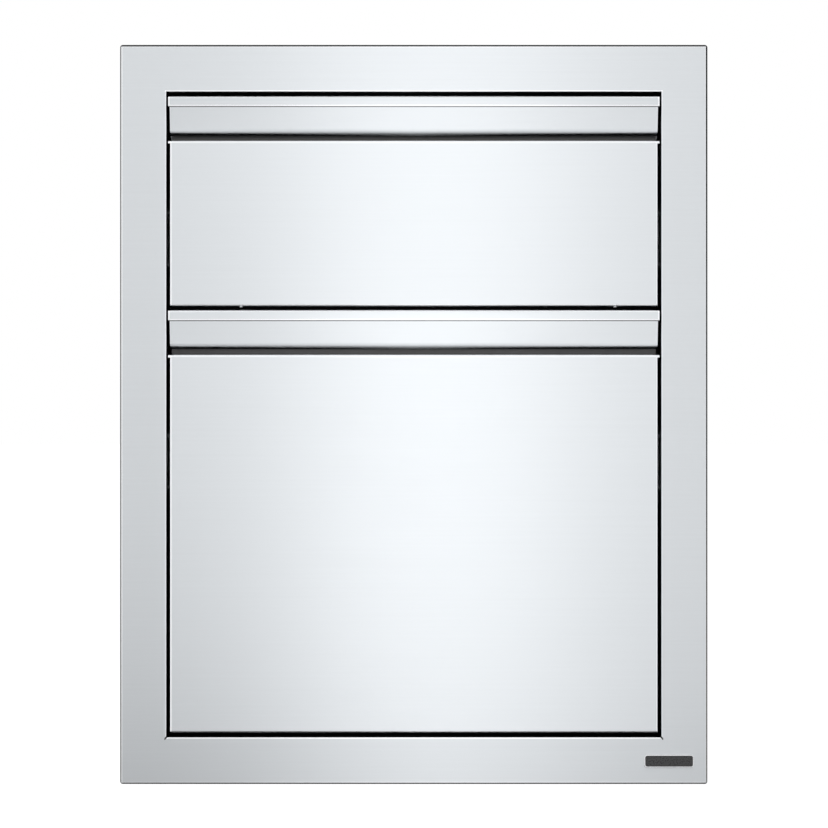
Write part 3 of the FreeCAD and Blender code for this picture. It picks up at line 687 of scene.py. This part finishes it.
# Blank plate: a plain rounded plate of dark enamelled steel with a bare bevelled rim,
# stuck to the lower right of the flange, with nothing on it.
PLATE_X, PLATE_Z = 0.2150, -0.2920
PLATE_W, PLATE_H, PLATE_T = 0.0420, 0.0110, 0.0009
PLATE_CORNER, PLATE_RIM = 0.0026, 0.0009
CORNER_STEPS = 6
PLATE_SECTION = (  # (drawn in by, standing proud by), from the flange over the rim to the field
    (0.0, 0.0), (0.0, 0.62 * PLATE_T), (0.35 * PLATE_RIM, PLATE_T), (PLATE_RIM, PLATE_T),
    (1.15 * PLATE_RIM, 0.72 * PLATE_T))


def plate_outline(inset):
    """Points round a rounded rectangle, drawn in by the inset."""
    points = []
    radius = PLATE_CORNER - inset
    for quarter, (sx, sz) in enumerate(((1, 1), (-1, 1), (-1, -1), (1, -1))):
        for step in range(CORNER_STEPS + 1):
            angle = math.radians(90 * quarter + 90 // CORNER_STEPS * step)
            points.append((
                PLATE_X + sx * (PLATE_W / 2 - PLATE_CORNER) + radius * math.cos(angle),
                PLATE_Z + sz * (PLATE_H / 2 - PLATE_CORNER) + radius * math.sin(angle)))
    return points


def mesh_of(name, shape):
    """The finished mesh of a shape, which is freed."""
    mesh = bpy.data.meshes.new(name)
    shape.to_mesh(mesh)
    shape.free()
    return mesh


shape = bmesh.new()
rings = []
for inset, proud in PLATE_SECTION:
    rings.append([shape.verts.new((x, FACE_Y - proud, z)) for x, z in plate_outline(inset)])
count = len(rings[0])
for inner, outer in zip(rings[1:], rings):
    for i in range(count):
        after = (i + 1) % count
        shape.faces.new((outer[i], outer[after], inner[after], inner[i]))
field = shape.faces.new(rings[-1])
field.material_index = 1
shape.faces.new(list(reversed(rings[0])))
bmesh.ops.recalc_face_normals(shape, faces=shape.faces)
plate = put("blank_plate", mesh_of("blank_plate", shape))
plate.data.materials.append(turned_steel("plate_rim_steel", (0.74, 0.75, 0.765), roughness=0.22))
plate.data.materials.append(grained(
    "plate_dark_enamel", scale=900.0, detail=2.0,
    dark=(0.012, 0.012, 0.013), pale=(0.022, 0.022, 0.023), roughness=0.28, spread=0.12,
    strength=0.08, distance=0.00008))
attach(plate, "housing")


# Studio: a pale floor below the unit, clear from beneath, white all round, a tall soft lamp
# in front with a low one under it, a broad one above, and one at each side and behind. Dark
# cards, seen only in reflections, give the metal its darker parts.
bpy.context.scene.view_settings.view_transform = "Standard"
FLOOR_Z, FLOOR_RADIUS = -0.500, 40.0
FLOOR_PAINT, FLOOR_GLOW = (0.62, 0.62, 0.62, 1.0), 0.70
WHITE = (1.0, 1.0, 1.0, 1.0)
AMBIENT = 0.55
shape = bmesh.new()
bmesh.ops.create_circle(shape, cap_ends=True, segments=96, radius=FLOOR_RADIUS)
bmesh.ops.translate(shape, verts=shape.verts, vec=(0.0, 0.0, FLOOR_Z))
floor = put("floor", mesh_of("floor", shape))


def background_share(tree):
    """One where the eye, a reflection or a view through glass meets the background."""
    path = tree.add("ShaderNodeLightPath", out="Is Camera Ray")
    paths = path.socket.node.outputs
    return path | Wire(tree, paths["Is Glossy Ray"]) | Wire(tree, paths["Is Transmission Ray"])


material = bpy.data.materials.new("pale_floor")
tree = cleared(material)
seen = background_share(tree)
paint = tree.add("ShaderNodeBsdfDiffuse", None, {"Color": FLOOR_PAINT})
glow = tree.add("ShaderNodeEmission", None, {"Color": WHITE, "Strength": seen * FLOOR_GLOW})
both = tree.add("ShaderNodeAddShader", None, {0: paint, 1: glow})
below = tree.add("ShaderNodeNewGeometry", out="Backfacing")
clear = tree.add("ShaderNodeBsdfTransparent")
one_way = tree.add("ShaderNodeMixShader", None, {0: below, 1: both, 2: clear})
tree.add("ShaderNodeOutputMaterial", None, {"Surface": one_way})
floor.data.materials.append(material)

world = bpy.data.worlds.new("studio")
bpy.context.scene.world = world
tree = cleared(world)
seen = background_share(tree)
sky = tree.add(
    "ShaderNodeBackground", None, {"Color": WHITE, "Strength": seen + (1.0 - seen) * AMBIENT})
tree.add("ShaderNodeOutputWorld", None, {"Surface": sky})


def soft_lamp(name, place, aim, width, height, power):
    """A rectangular lamp that the camera doesn't see."""
    light = bpy.data.lights.new(name, "AREA")
    light.shape = "RECTANGLE"
    light.size = width
    light.size_y = height
    light.energy = power
    lamp = put(name, light)
    lamp.location = place
    lamp.rotation_mode = "QUATERNION"
    lamp.rotation_quaternion = (Vector(aim) - Vector(place)).to_track_quat("-Z", "Y")
    lamp.visible_camera = False


soft_lamp(
    "tall_lamp", place=(0.03, -1.50, 0.25), aim=(0.03, 0.0, 0.05),
    width=0.36, height=1.60, power=1.12)
soft_lamp(
    "low_lamp", place=(0.03, -1.60, -0.40), aim=(0.03, -1.60, 1.0),
    width=0.36, height=1.80, power=1.35)
soft_lamp(
    "top_lamp", place=(0.10, -0.80, 1.50), aim=(0.0, 0.0, 0.10),
    width=1.40, height=0.90, power=3.0)
for side, name in ((-1, "left_lamp"), (1, "right_lamp")):
    soft_lamp(
        name, place=(side * 1.30, -1.20, 0.20), aim=(0.0, 0.0, 0.0),
        width=1.20, height=1.60, power=3.0)
soft_lamp(
    "rear_lamp", place=(-0.90, 2.10, 1.00), aim=(0.0, 0.3, 0.0),
    width=0.80, height=1.20, power=3.0)


def dark_card(name, corners):
    """A black card that only reflections see."""
    shape = bmesh.new()
    shape.faces.new([shape.verts.new(c) for c in corners])
    card = put(name, mesh_of(name, shape))
    card.visible_camera = False
    card.visible_diffuse = False
    card.visible_shadow = False
    card.visible_transmission = False
    tree, close = finish(name)
    card.data.materials.append(close({"Base Color": (0.01, 0.01, 0.01, 1.0), "Roughness": 0.9}))


SIDE_CARD_X = 1.60
SIDE_CARD = ((0.10, FLOOR_Z), (1.60, FLOOR_Z), (1.60, 1.60), (0.55, 1.60))
REAR_CARD_Y = 2.20
REAR_CARD = ((-1.20, FLOOR_Z), (1.20, FLOOR_Z), (1.20, 0.10), (-1.20, -0.20))
LOW_CARD_Z = -0.460
LOW_CARD = ((-0.35, -0.02), (0.35, -0.02), (0.35, -0.34), (0.02, -0.14), (-0.35, -0.60))
for side, name in ((-1, "left_card"), (1, "right_card")):
    dark_card(name, [(side * SIDE_CARD_X, y, z) for y, z in SIDE_CARD])
dark_card("rear_card", [(x, REAR_CARD_Y, z) for x, z in REAR_CARD])
dark_card("low_card", [(x, y, LOW_CARD_Z) for x, y in LOW_CARD])


# Camera: level with the middle of the unit and straight in front of it, as far off as the
# parallax of the recessed pulls says, with a long lens.
CAMERA_X, CAMERA_Z = 0.00015, 0.0004
CAMERA_DISTANCE = 2.165
SEEN_WIDTH = 0.6976
SENSOR_WIDTH = 36.0
lens = bpy.data.cameras.new("camera")
lens.sensor_width = SENSOR_WIDTH
lens.lens = SENSOR_WIDTH * CAMERA_DISTANCE / SEEN_WIDTH
lens.clip_end = 200.0
camera = put("camera", lens)
camera.location = (CAMERA_X, FACE_Y - CAMERA_DISTANCE, CAMERA_Z)
camera.rotation_euler = (math.radians(90.0), 0.0, 0.0)
bpy.context.scene.camera = camera
